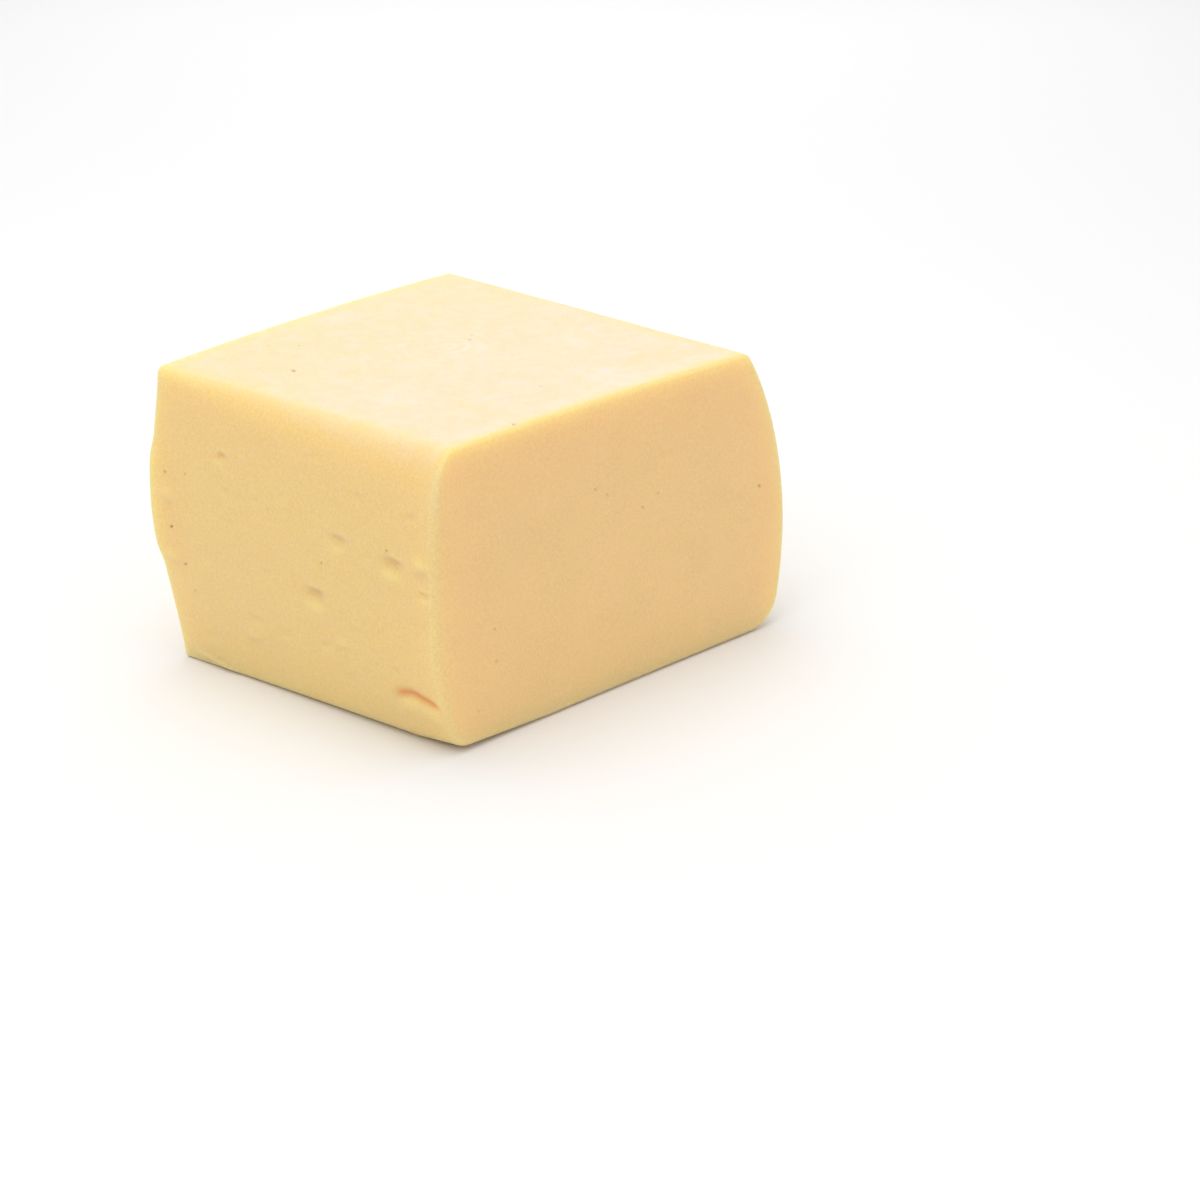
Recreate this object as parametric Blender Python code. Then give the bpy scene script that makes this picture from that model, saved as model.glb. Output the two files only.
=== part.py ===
"""Half a loaf of low-moisture mozzarella: one solid block of pulled-curd cheese.

The loaf was pressed in a box mould and then halved with a wire. The block keeps the mould's
soft edge along its left side, a flat wire-cut face in front, a right side that has sagged
outwards, and a far end with a shallow dome. A few small dents mark the left side.

Frame: +X across the loaf, away from the soft-edged side; +Y along the loaf, away from the
cut face; +Z up. The origin is under the middle of the block's box, on its flat base.

The form is built in three steps, each a function of the last one's point:
1. a cube is sliced into a lattice, whose rows are shares from 0 to 1 along each axis;
2. the lattice is carried onto a straight block whose twelve edges are rounded, each by its own radius;
3. the straight block is shaped: tapered, bulged, skewed, crowned and dented.
"""

import math

import bmesh
import bpy

MM = 0.001

# The straight block, in millimetres
TOP_WIDTH = 144.0
LEFT_LENGTH = 130.5
HEIGHT = 104.0

# Radii of the four long edges at the cut face and at the far end
TOP_LEFT_ROUND = (9.5, 3.2)
TOP_RIGHT_ROUND = (2.6, 3.0)
BASE_LEFT_ROUND = (5.2, 2.6)
BASE_RIGHT_ROUND = (10.0, 10.0)
# Radii of the edges around the two ends
CUT_ROUND = 1.4
FAR_ROUND = 2.0

# A bulge is its height, its lean (1 peaks midway, less peaks lower) and its sharpness (less is flatter)

# The left side at the cut: nearly upright, with its foot tucked in over the lowest third
CUT_TUCK = 7.8
CUT_TUCK_REACH = 0.37
CUT_TUCK_POWER = 1.8
CUT_SIDE_BULGE = (1.7, 0.75, 1.3)
# The left side at the far end: it leans in evenly to the base and bulges more
FAR_TUCK = 4.6
FAR_SIDE_BULGE = (5.9, 1.2, 1.3)
# The right side has sagged: its base stands out, it is full at mid height, and it spreads to the far end
RIGHT_FLARE = 14.5
RIGHT_BULGE = (12.2, 1.0, 0.9)
RIGHT_SPREAD = 1.8
# The wire ran a little askew; the far end has its own slope, and bulges across and up
CUT_SLOPE = -0.0325
FAR_SLOPE = 0.048
FAR_BULGE_ACROSS = (2.8, 1.0, 0.6)
FAR_BULGE_UP = (3.2, 1.0, 1.1)
# The base's four edges draw in a little midway between its corners, so that it stands on them.
# At the two ends this dies out, and the far end's bulge across is full, from this share of the height up.
BASE_HOLLOW = 0.5
FOOT_LEVEL = 0.25
# The top is crowned slightly and drops towards its right edge; both die out below it
TOP_CROWN = (0.5, 1.0, 1.0)
TOP_DROP = 0.9
DROP_POWER = 4
CROWN_FADE = 3
# The base is lifted off the table at the corner between the left side and the cut face
CORNER_LIFT = 1.8
LIFT_ACROSS = 40.0
LIFT_ALONG = 20.0
LIFT_FADE = 3

# Dents in the left side: place along the loaf, height, half length, reach above and below,
# slope in degrees, and depth
DENTS = (
    (41.7, 66.5, 5.0, 2.2, 4.4, 10.0, 0.9),
    (53.8, 43.8, 5.0, 2.2, 4.6, -2.0, 1.3),
    (18.1, 62.6, 5.0, 2.0, 4.4, 18.0, 1.2),
    (97.0, 80.9, 3.4, 1.6, 2.4, 0.0, 0.7),
)
# A crease low on the left side arches towards the cut face, over a lip of cheese that swells out
CREASE_PLACE = 12.0
CREASE_HEIGHT = 21.0
CREASE_ARCH = 0.035
CREASE_HALF_LENGTH = 10.0
CREASE_REACH_UP = 1.5
CREASE_REACH_DOWN = 2.6
CREASE_DEPTH = 1.3
LIP_BELOW_CREASE = 6.0
LIP_REACH = 3.4
LIP_SWELL = 0.8
# Dents and crease die out towards the right side with this power
MARK_FADE = 3

# Lattice: cells along each axis, and how many of them step round half of an edge
CELLS = 22
EDGE_CELLS = 3
EDGE_SHARE = EDGE_CELLS / CELLS
# The left side's cells this many reaches around a dent are split by more cuts
DENT_SPREAD = 1.7
DENT_CUTS = 3

CHEESE_COLOR = (0.90, 0.74, 0.42, 1.0)
CHEESE_ROUGHNESS = 0.45
SHARP_EDGE_ANGLE = math.radians(40)


def mix(low, high, share):
    """The value at a share of the way from low to high."""
    return low + (high - low) * share


def ramp(share):
    """0 along one edge's rows, 1 along the other's, and even steps between."""
    middle = (share - EDGE_SHARE) / (1 - 2 * EDGE_SHARE)
    return min(1.0, max(0.0, middle))


def row_place(share, low_round, high_round, span):
    """Distance of a row from the low edge of a face. Rows within an edge's radius turn by equal angles."""
    if share < EDGE_SHARE:
        angle = math.radians(45) * (1 - share / EDGE_SHARE)
        return low_round * (1 - math.tan(angle))
    if share > 1 - EDGE_SHARE:
        return span - row_place(1 - share, high_round, low_round, span)
    return mix(low_round, span - high_round, ramp(share))


def drawn_to_arc(offset_x, offset_z):
    """Carries an offset from an edge's centre line from a square corner onto a round one."""
    reach = max(abs(offset_x), abs(offset_z))
    distance = math.hypot(offset_x, offset_z)
    if distance == 0:
        return 0.0, 0.0
    return offset_x * reach / distance, offset_z * reach / distance


def section_point(across, up, station, inset):
    """A point of the straight block's cross-section, drawn in from its outline by inset."""
    top_left = mix(*TOP_LEFT_ROUND, station) - inset
    top_right = mix(*TOP_RIGHT_ROUND, station) - inset
    hollow = BASE_HOLLOW * math.sin(math.pi * station)
    base_left = mix(*BASE_LEFT_ROUND, station) + hollow - inset
    base_right = mix(*BASE_RIGHT_ROUND, station) + hollow - inset
    width = TOP_WIDTH - 2 * inset
    height = HEIGHT - 2 * inset
    left_round = mix(base_left, top_left, ramp(up))
    right_round = mix(base_right, top_right, ramp(up))
    base_round = mix(base_left, base_right, ramp(across))
    top_round = mix(top_left, top_right, ramp(across))
    x = row_place(across, left_round, right_round, width)
    z = row_place(up, base_round, top_round, height)
    by_left = across < EDGE_SHARE
    by_right = across > 1 - EDGE_SHARE
    by_base = up < EDGE_SHARE
    by_top = up > 1 - EDGE_SHARE
    if (by_left or by_right) and (by_base or by_top):
        center_x = left_round if by_left else width - right_round
        center_z = base_round if by_base else height - top_round
        offset_x, offset_z = drawn_to_arc(x - center_x, z - center_z)
        x = center_x + offset_x
        z = center_z + offset_z
    return x + inset, z + inset


def end_round(share, radius):
    """Inset and distance from the end for a row that turns round the end's edge."""
    angle = math.radians(90) * (1 - share / EDGE_SHARE)
    return radius * (1 - math.cos(angle)), radius * (1 - math.sin(angle))


def straight_point(across, along, up):
    """A lattice point on the straight block with rounded edges, in millimetres."""
    if along < EDGE_SHARE:
        inset, y = end_round(along, CUT_ROUND)
    elif along > 1 - EDGE_SHARE:
        inset, depth = end_round(1 - along, FAR_ROUND)
        y = LEFT_LENGTH - depth
    else:
        inset = 0.0
        y = mix(CUT_ROUND, LEFT_LENGTH - FAR_ROUND, ramp(along))
    x, z = section_point(across, up, y / LEFT_LENGTH, inset)
    return x, y, z


def bulge(share, form):
    """A swell that is nothing at both ends: a half wave, leaned and flattened as its form says."""
    height, lean, sharpness = form
    return height * max(0.0, math.sin(math.pi * share**lean)) ** sharpness


def left_side(station, level):
    """How far the left side stands in from the top's left edge."""
    foot = max(0.0, 1 - level / CUT_TUCK_REACH)
    at_cut = CUT_TUCK * foot**CUT_TUCK_POWER - bulge(level, CUT_SIDE_BULGE)
    at_far_end = FAR_TUCK * (1 - level) - bulge(level, FAR_SIDE_BULGE)
    return mix(at_cut, at_far_end, station)


def right_side(station, level):
    """How far the right side stands out past the top's right edge."""
    return RIGHT_FLARE * (1 - level) + bulge(level, RIGHT_BULGE) + RIGHT_SPREAD * station


def foot_hollow(share, level):
    """How far the foot of an end draws in between the base's corners."""
    return BASE_HOLLOW * math.sin(math.pi * share) * max(0.0, 1 - level / FOOT_LEVEL)


def cut_end(x, share, level):
    """How far the cut face lies past the left side's start."""
    return CUT_SLOPE * x + foot_hollow(share, level)


def far_end(share, level):
    """How far the far end lies past the left side's length."""
    slope = FAR_SLOPE * TOP_WIDTH * share
    across = bulge(share, FAR_BULGE_ACROSS) * min(1.0, level / FOOT_LEVEL)
    return slope + across + bulge(level, FAR_BULGE_UP) - foot_hollow(share, level)


def base_lift(x, y):
    """Height of the base above the table, at the lifted corner."""
    across = max(0.0, 1 - x / LIFT_ACROSS)
    along = max(0.0, 1 - y / LIFT_ALONG)
    return CORNER_LIFT * across * along


def dent(y, z, mark):
    """Depth of one dent at a place on the left side: a bell, steeper above than below."""
    place, level, half_length, reach_up, reach_down, slope, depth = mark
    turn = math.radians(slope)
    ahead = y - place
    above = z - level
    length = ahead * math.cos(turn) + above * math.sin(turn)
    rise = above * math.cos(turn) - ahead * math.sin(turn)
    reach = reach_up if rise > 0 else reach_down
    return depth * math.exp(-((length / half_length) ** 2) - (rise / reach) ** 2)


def crease(y, z):
    """Depth of the crease at a place on the left side, less the swell of the lip under it."""
    ahead = y - CREASE_PLACE
    above = z - CREASE_HEIGHT + CREASE_ARCH * ahead**2
    reach = CREASE_REACH_UP if above > 0 else CREASE_REACH_DOWN
    groove = CREASE_DEPTH * math.exp(-((above / reach) ** 2))
    lip = LIP_SWELL * math.exp(-(((above + LIP_BELOW_CREASE) / LIP_REACH) ** 2))
    return (groove - lip) * math.exp(-((ahead / CREASE_HALF_LENGTH) ** 4))


def shaped_point(x, y, z):
    """The real form's point for a point of the straight block."""
    share = x / TOP_WIDTH
    station = y / LEFT_LENGTH
    level = z / HEIGHT
    marks = sum(dent(y, z, mark) for mark in DENTS) + crease(y, z)
    left = left_side(station, level)
    right = TOP_WIDTH + right_side(station, level)
    shaped_x = mix(left, right, share) + marks * (1 - share) ** MARK_FADE
    shaped_y = y + mix(cut_end(shaped_x, share, level), far_end(share, level), station)
    crown = bulge(share, TOP_CROWN) - TOP_DROP * share**DROP_POWER
    lift = base_lift(x, y) * (1 - level) ** LIFT_FADE
    return shaped_x, shaped_y, z + crown * level**CROWN_FADE + lift


def sliced_cube():
    """A unit cube from 0 to 1, sliced by planes into a lattice of quads on every face."""
    cube = bmesh.new()
    bmesh.ops.create_cube(cube, size=1.0)
    bmesh.ops.translate(cube, verts=cube.verts, vec=(0.5, 0.5, 0.5))
    for axis in range(3):
        for cut in range(1, CELLS):
            place = [0.0, 0.0, 0.0]
            place[axis] = cut / CELLS
            facing = [0.0, 0.0, 0.0]
            facing[axis] = 1.0
            everything = [*cube.verts, *cube.edges, *cube.faces]
            bmesh.ops.bisect_plane(
                cube, geom=everything, dist=1e-6, plane_co=place, plane_no=facing
            )
    return cube


def is_near_a_mark(face):
    """Whether a lattice face lies on the flat of the left side, within reach of a dent or the crease."""
    center = face.calc_center_median()
    if center.x > 1e-4 or center.y < EDGE_SHARE:
        return False
    _, y, z = straight_point(*center)
    if y < CREASE_PLACE + CREASE_HALF_LENGTH and abs(z - CREASE_HEIGHT) < LIP_BELOW_CREASE:
        return True
    for place, level, half_length, reach_up, reach_down, _, _ in DENTS:
        is_along = abs(y - place) < DENT_SPREAD * half_length
        is_level = -DENT_SPREAD * reach_down < z - level < DENT_SPREAD * reach_up
        if is_along and is_level:
            return True
    return False


def refine_marks(cube):
    """Splits the left side's cells under the dents and the crease into finer ones."""
    faces = [face for face in cube.faces if is_near_a_mark(face)]
    edges = list({edge for face in faces for edge in face.edges})
    bmesh.ops.subdivide_edges(cube, edges=edges, cuts=DENT_CUTS, use_grid_fill=True)


def stand_on_origin(block):
    """Moves the block so that the middle of its box's base is the origin."""
    lows = [min(vert.co[axis] for vert in block.verts) for axis in range(3)]
    highs = [max(vert.co[axis] for vert in block.verts) for axis in range(3)]
    shift = (-(lows[0] + highs[0]) / 2, -(lows[1] + highs[1]) / 2, -lows[2])
    bmesh.ops.translate(block, verts=block.verts, vec=shift)


def block_mesh():
    """The finished block as a mesh in metres."""
    block = sliced_cube()
    refine_marks(block)
    for vert in block.verts:
        vert.co = [MM * value for value in shaped_point(*straight_point(*vert.co))]
    stand_on_origin(block)
    bmesh.ops.recalc_face_normals(block, faces=block.faces)
    mesh = bpy.data.meshes.new("mozzarella_block")
    block.to_mesh(mesh)
    block.free()
    mesh.shade_smooth()
    mesh.set_sharp_from_angle(angle=SHARP_EDGE_ANGLE)
    return mesh


def cheese_material():
    """Pale yellow pulled-curd cheese with a soft, slightly moist sheen."""
    material = bpy.data.materials.new("low_moisture_mozzarella")
    material.use_nodes = True
    shader = material.node_tree.nodes["Principled BSDF"]
    shader.inputs["Base Color"].default_value = CHEESE_COLOR
    shader.inputs["Roughness"].default_value = CHEESE_ROUGHNESS
    shader.inputs["Metallic"].default_value = 0.0
    return material


def main():
    for leftover in list(bpy.data.objects):
        bpy.data.objects.remove(leftover)
    collection = bpy.data.collections.new("mozzarella_cheese")
    bpy.context.scene.collection.children.link(collection)
    mesh = block_mesh()
    mesh.materials.append(cheese_material())
    block = bpy.data.objects.new("mozzarella_block", mesh)
    collection.objects.link(block)


main()
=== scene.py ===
"""The looks of half a loaf of low-moisture mozzarella, laid out as a Blender add-on.

The block is one closed surface. A lattice box gives its points, which are carried onto a straight
block with rounded edges and then shaped: tapered, bulged, skewed, crowned, dented and pitted. Its
top, long sides and far end are skin pressed in a mould; its front was cut with a wire.

Sizes in the functions are in millimetres, in the block's own frame: x runs across the loaf from the
soft-edged side, y along it from the cut face, and z up from the surface it stands on.
"""

import math

import bpy
import numpy as np
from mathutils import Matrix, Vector


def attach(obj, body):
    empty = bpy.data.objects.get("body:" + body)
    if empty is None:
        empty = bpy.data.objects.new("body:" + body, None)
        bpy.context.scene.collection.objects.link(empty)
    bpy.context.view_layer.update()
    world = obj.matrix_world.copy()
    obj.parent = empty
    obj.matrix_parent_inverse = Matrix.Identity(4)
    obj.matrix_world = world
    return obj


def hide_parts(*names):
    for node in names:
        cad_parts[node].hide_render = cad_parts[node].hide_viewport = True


bl_info = {
    "name": "Mozzarella block",
    "version": (1, 0, 0),
    "blender": (4, 5, 0),
    "location": "3D View > Sidebar > Cheese",
    "description": "Builds half a loaf of low-moisture mozzarella and a plain stage for it",
    "category": "Add Mesh",
}

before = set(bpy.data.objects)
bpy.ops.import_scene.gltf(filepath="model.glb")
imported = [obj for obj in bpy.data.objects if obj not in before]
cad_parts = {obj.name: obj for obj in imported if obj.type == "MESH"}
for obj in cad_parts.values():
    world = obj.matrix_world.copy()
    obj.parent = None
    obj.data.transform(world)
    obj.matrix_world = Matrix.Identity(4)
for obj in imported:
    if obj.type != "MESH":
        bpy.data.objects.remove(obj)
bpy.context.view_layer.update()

NODE = "mozzarella_block"
MM = 0.001

# Radii of the four long edges at the cut face and at the far end, in millimetres
TOP_LEFT_ROUND = (8.4, 2.4)
TOP_RIGHT_ROUND = (2.6, 3.0)
BASE_LEFT_ROUND = (5.2, 1.6)
BASE_RIGHT_ROUND = (10.0, 10.0)
# How many times as tall as it is wide the top left edge is, at the cut face and at the far end. Rows on
# the two ends move down with it, less and less over this many of its radii from the left side.
TOP_LEFT_STRETCH = (2.0, 1.3)
STRETCH_SPREAD = 4
# Radii of the edges round the two ends. The cut's edge is crisp at the top, and softer on its sides.
CUT_ROUND = 1.4
CUT_SIDE_ROUND = 2.4
FAR_ROUND = 1.4

# A bulge is its height, its lean (1 peaks midway, less peaks lower) and its sharpness (less is flatter)

# The left side at the cut: nearly upright, with its foot tucked in over the lowest third
CUT_TUCK = 7.8
CUT_TUCK_REACH = 0.34
CUT_TUCK_POWER = 1.8
CUT_SIDE_BULGE = (2.4, 1.3, 0.85)
# The left side at the far end: it leans in evenly to the base and bulges more
FAR_TUCK = 2.5
FAR_SIDE_BULGE = (4.9, 1.2, 1.6)
# The right side has sagged: its base stands out, it is full at mid height, and it spreads to the far end
RIGHT_FLARE = 14.5
RIGHT_BULGE = (12.9, 1.0, 0.7)
RIGHT_SPREAD = 1.8
# The wire ran a little askew; the far end has its own slope, and bulges across and up
CUT_SLOPE = -0.0325
FAR_SLOPE = 0.048
FAR_BULGE_ACROSS = (1.3, 1.0, 1.0)
FAR_BULGE_UP = (3.2, 1.0, 1.1)
# The far end draws in towards its foot beside the left side: how far, and the powers up and across
FAR_LEAN = 4.2
FAR_LEAN_POWERS = (0.9, 2.0)
# The base's four edges draw in a little midway between its corners, so that it stands on them.
# At the two ends this dies out, and the far end's bulge across is full, from this share of the height up.
BASE_HOLLOW = 0.5
FOOT_LEVEL = 0.25
# The top is crowned slightly and drops towards its right edge; both die out below it
TOP_CROWN = (0.5, 1.0, 1.0)
TOP_DROP = 0.7
DROP_POWER = 4
CROWN_FADE = 3
# The base is lifted off the table at the corner between the left side and the cut face
CORNER_LIFT = 1.8
LIFT_ACROSS = 40.0
LIFT_ALONG = 20.0
LIFT_FADE = 3

# Dents in the left side: place along the loaf, height, half length, reach above, reach below to where
# it meets the side again, slope in degrees, and depth. A low swell has a negative depth.
LEFT_DENTS = (
    (42.0, 66.3, 3.8, 1.3, 2.6, 1.0, 1.05),
    (54.1, 44.6, 4.3, 1.4, 3.2, 0.0, 1.5),
    (17.8, 64.4, 4.2, 1.5, 2.9, 6.0, 1.5),
    (97.0, 81.0, 2.6, 1.0, 1.7, 0.0, 0.9),
    (52.4, 91.4, 2.4, 0.9, 1.4, 0.0, 0.45),
    (33.0, 82.9, 2.4, 0.9, 1.4, 8.0, 0.45),
    (9.8, 81.9, 2.4, 0.9, 1.4, -6.0, 0.45),
    (4.4, 56.9, 2.2, 0.9, 1.4, 0.0, 0.75),
    (86.5, 26.0, 3.2, 1.2, 1.8, 8.0, 0.6),
    (72.8, 25.1, 2.6, 1.0, 1.5, 0.0, 0.5),
    (36.2, 35.9, 2.2, 0.9, 1.4, 6.0, 0.4),
    (19.3, 27.0, 2.0, 0.9, 1.4, 0.0, 0.4),
    (112.6, 12.9, 3.0, 1.0, 1.6, 0.0, 0.4),
    (51.8, 26.7, 2.2, 0.9, 1.4, -8.0, 0.4),
    (94.4, 70.0, 1.4, 0.8, 1.1, 0.0, 0.4),
    (86.8, 69.2, 1.4, 0.8, 1.1, 0.0, 0.4),
    (80.1, 70.7, 1.4, 0.8, 1.1, 0.0, 0.4),
    (67.4, 74.5, 1.4, 0.8, 1.1, 0.0, 0.4),
    (5.0, 67.4, 2.8, 2.2, 2.8, 0.0, -0.95),
    (89.3, 19.8, 2.6, 2.2, 1.8, 0.0, -0.6),
    (42.9, 29.3, 2.6, 2.0, 1.3, 8.0, -0.55),
    (121.8, 62.4, 3.0, 2.8, 2.2, 0.0, -0.55),
    (123.2, 39.6, 3.0, 2.8, 2.0, 0.0, -0.6),
)
# A crease low on the left side: a thin groove with a bend near its middle, broader away from the cut.
# The skin draws in softly above it, and a lip of cheese swells out below it.
CREASE_PLACE = 14.5
CREASE_HEIGHT = 19.6
CREASE_SLOPE = 0.28
CREASE_BEND = 1.2
CREASE_MIDDLE = 12.4
CREASE_HALF_LENGTH = 9.4
CREASE_REACHES = (0.9, 1.8)
CREASE_DEPTH = 0.6
HOLLOW_REACH = 4.2
HOLLOW_DEPTH = 0.6
LIP_BELOW_CREASE = 4.4
LIP_REACH = 3.0
LIP_SWELL = 0.9
# A fold stands out along the foot of the left side, near the far end
FOLD_PLACE = 114.0
FOLD_HEIGHT = 3.6
FOLD_SLOPE = 0.18
FOLD_HALF_LENGTH = 9.0
FOLD_REACH_UP = 0.6
FOLD_REACH_DOWN = 1.3
FOLD_SWELL = 1.1
# The upright edge between the left side and the far end steps out over the first span of heights, and
# back in over the second
STEP_RISE = (33.5, 44.0)
STEP_FALL = (72.0, 82.0)
STEP_LENGTH = 7.0
STEP_SWELL = 1.4
# Shares of the painted shade on the wall above a dent and of the painted light on the skin below it,
# for a dent that is a millimetre deep, and where these are strongest, as shares of its reach above
# and of its reach below
DENT_SHADE_SHARE = 0.38
DENT_LIGHT_SHARE = 0.36
DENT_SHADE_PEAK = 0.6
DENT_LIGHT_PEAK = 1.4
# Marks of the left and the right side die out across the block with this power
MARK_FADE = 3

# Small round openings, which gas and air leave in the curd: two places on their side, radius and depth.
# The places are along the loaf or across it, and then the height or, on the top, the place along.
LEFT_PITS = (
    (121.8, 50.2, 0.36, 0.5),
    (118.3, 37.3, 0.36, 0.5),
    (20.2, 68.1, 0.34, 0.42),
    (49.6, 56.1, 0.3, 0.38),
    (123.2, 69.4, 0.3, 0.38),
    (113.8, 70.6, 0.28, 0.3),
    (116.4, 28.2, 0.28, 0.3),
    (89.0, 97.5, 0.26, 0.12),
    (73.8, 68.7, 0.26, 0.18),
)
CUT_PITS = (
    (132.7, 54.4, 0.36, 0.45),
    (64.7, 73.9, 0.34, 0.28),
    (69.4, 70.6, 0.33, 0.24),
    (83.2, 61.8, 0.33, 0.24),
    (90.0, 64.9, 0.28, 0.18),
    (22.4, 38.8, 0.33, 0.25),
    (22.4, 27.3, 0.33, 0.25),
    (12.0, 12.0, 0.33, 0.2),
    (7.8, 76.4, 0.3, 0.12),
    (9.2, 83.1, 0.28, 0.08),
)
TOP_PITS = (
    (26.6, 91.5, 0.52, 0.6),
    (89.3, 71.5, 0.3, 0.38),
    (93.5, 74.4, 0.3, 0.38),
    (69.0, 21.9, 0.3, 0.38),
    (1.5, 114.0, 0.3, 0.38),
    (38.7, 115.7, 0.28, 0.3),
    (45.5, 108.2, 0.28, 0.3),
    (2.4, 38.4, 0.3, 0.38),
    (35.9, 2.6, 0.3, 0.38),
)
# Whiter, fattier marks on the top: place across, place along, reach and share
FAT_MARKS = (
    (76.1, 69.3, 14.0, 1.3),
    (30.9, 47.7, 7.0, 1.0),
    (91.4, 15.5, 9.0, 1.1),
    (76.4, 119.2, 7.0, 0.45),
    (138.4, 73.5, 7.0, 0.45),
    (52.0, 26.0, 9.0, 0.4),
    (112.0, 52.0, 10.0, 0.4),
)
# The first of them lies in broken rings, and there is a whiter band beside the cut: place, reach and share
FAT_BAND = (6.5, 3.0, 0.45)
# Dents and openings like those of the left side are scattered over the sides that the photograph doesn't
# show, away from their edges. A dent's reach down is a share of its half length, and an opening's depth
# is a share of its radius.
SCATTER_SEED = 7
SCATTER_MARGIN = 14.0
SCATTERED_DENTS = 4
DENT_HALF_LENGTHS = (2.6, 5.0)
DENT_SLOPES = (-25, 25)
DENT_DEPTHS = (0.4, 1.1)
DENT_REACH_UP = 1.4
DENT_REACH_DOWN = 0.9
SCATTERED_PITS = 9
PIT_RADII = (0.27, 0.42)
PIT_DEPTH = 0.9
# The painted sheen, a whiter colour that stands in for the top's bright sheen, comes in over these
# distances from its left edge, from the cut and from its other edges
SHEEN_FROM_LEFT = (1.2, 15.0)
SHEEN_FROM_CUT = (1.2, 4.2)
SHEEN_FROM_EDGE = (0.8, 7.0)
# It is weaker by a share towards the far end, over this span of the length
SHEEN_LOSS = 0.3
SHEEN_LOSS_SPAN = (0.35, 0.8)
# It also runs down the upright edge beside the cut: its reach, its lowest height and its share
SHEEN_EDGE = (2.4, 74.0, 0.4)
# Reach of the painted shade that damps the glow of each upright edge
EDGE_SHADE_REACH = 3.2
# An opening has its full colour, painted shade of its hollow with some trapped dirt, from this depth on
PIT_COLOR_DEPTH = 0.5
# Points of the lattice are drawn in towards a small mark from this far away, by this share at its middle
PIT_GATHER = (4.2, 0.82)
DENT_GATHER = (6.0, 0.45)
CREASE_GATHER = (6.0, 0.7)

# The skin is never quite flat: low waves, each with its own direction and length. They are full from
# this height above the table on.
WAVE_SEED = 11
WAVES = 9
WAVE_LENGTHS = (24.0, 75.0)
WAVE_HEIGHT = 0.10
WAVES_FULL = 12.0

# Rows of the lattice round half of an edge, the share of an axis that stands for them, and rows over
# the flats across, along and up
EDGE_ROWS = 6
EDGE_SHARE = 0.1
FLAT_ROWS = (118, 112, 92)

# Scales of the curd's patterns, in millimetres, and the largest shares of their colours
PATCH_SIZE = 22.0
PATCH_SHARE = 0.32
STREAK_SIZE = 5.0
STREAK_SHARE = 0.3
SHEEN_SIZE = 30.0
MOTTLE_SIZE = 6.0
MOTTLE_SHARE = 0.6
GRAIN_SIZE = 0.8
GRAIN_SHARE = 0.3
GRAIN_DIMMING = 0.055
# Relief too fine for the lattice: the sizes of its features and its height. Then the parts that dimples
# and pebbles have in the skin's, and drag lines, pebbles and dimples in the cut's.
DIMPLE_SIZE = 4.5
PEBBLE_SIZE = 0.8
DRAG_SPACING = 1.4
RELIEF_HEIGHT = 0.09
SKIN_RELIEF = (1.0, 0.9)
CUT_RELIEF = (0.15, 0.7, 0.25)
# The fat in the top lies in rings round this place, in metres, with this spacing
RINGS_PLACE = (-0.0018, 0.005, 0.104)
RING_SPACING = 4.6
RING_BREAK_SIZE = 12.0
# A wave texture turns this many times over one unit at a scale of 1
WAVE_TEXTURE_TURNS = 3.2
# Shares that the surface carries for its material
MASKS = ("cut_face", "painted_sheen", "ringed_fat", "fat", "edge_shade", "dent_shade", "dent_light", "fold", "pit")
# Least and greatest roughness of the skin and of the cut, and how strongly both bend light
SKIN_ROUGHNESS = (0.40, 0.52)
CUT_ROUGHNESS = (0.34, 0.44)
CHEESE_IOR = 1.45
# A thin moist film lies on the curd
FILM_SHARE = 0.15
FILM_ROUGHNESS = 0.3
# How far red, green and blue light travel in the curd, in millimetres
LIGHT_REACH = (14.0, 13.0, 5.0)

# The stage, in millimetres: places are in the block's frame
FLOOR_RADIUS = 9000.0
FLOOR_RINGS = 12
FLOOR_SIDES = 64
CAMERA_PLACE = (-746.9, -737.8, 439.0)
CAMERA_AIM = (54.4, -12.3, 0.0)
CAMERA_LENS = 98.0
CAMERA_SENSOR = 36.0
KEY_PLACE = (-60.0, 60.0, 1100.0)
KEY_SIZE = 900.0
BACK_PLACE = (760.0, 640.0, 520.0)
BACK_SIZE = 900.0
LEFT_PLACE = (-860.0, -230.0, 1060.0)
LEFT_SIZE = 800.0
FRONT_PLACE = (-120.0, -1100.0, 700.0)
FRONT_SIZE = 800.0


def linear(color):
    """A colour written as sRGB hex digits, as linear red, green, blue and an alpha of 1."""
    values = np.array([int(color[at : at + 2], 16) / 255 for at in (0, 2, 4)])
    low = values / 12.92
    high = ((values + 0.055) / 1.055) ** 2.4
    return (*(float(value) for value in np.where(values <= 0.04045, low, high)), 1.0)


# ---------------------------------------------------------------------------------------------
# Settings


def length_property(name, description, default):
    """A length that a user can change, shown in the scene's units."""
    return bpy.props.FloatProperty(
        name=name, description=description, default=default, min=0.0, unit="LENGTH", precision=4
    )


def power_property(name, description, default):
    """A light's power that a user can change."""
    return bpy.props.FloatProperty(
        name=name, description=description, default=default, min=0.0, unit="POWER"
    )


def color_property(name, description, color):
    """A colour that a user can change, given as sRGB hex digits."""
    return bpy.props.FloatVectorProperty(
        name=name,
        description=description,
        default=linear(color),
        size=4,
        min=0.0,
        max=1.0,
        subtype="COLOR",
    )


class CheeseSizes(bpy.types.PropertyGroup):
    """Sizes of the block."""

    top_width: length_property("Top width", "Width of the top across the loaf", 0.144)
    left_length: length_property("Left length", "Length of the top's left edge", 0.1305)
    height: length_property("Height", "Height of the block at its left edge", 0.104)
    waviness: bpy.props.FloatProperty(
        name="Waviness",
        description="How uneven the moulded skin is, where 0 is flat and 1 is as pressed",
        default=1.0,
        min=0.0,
        soft_max=3.0,
    )


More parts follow.
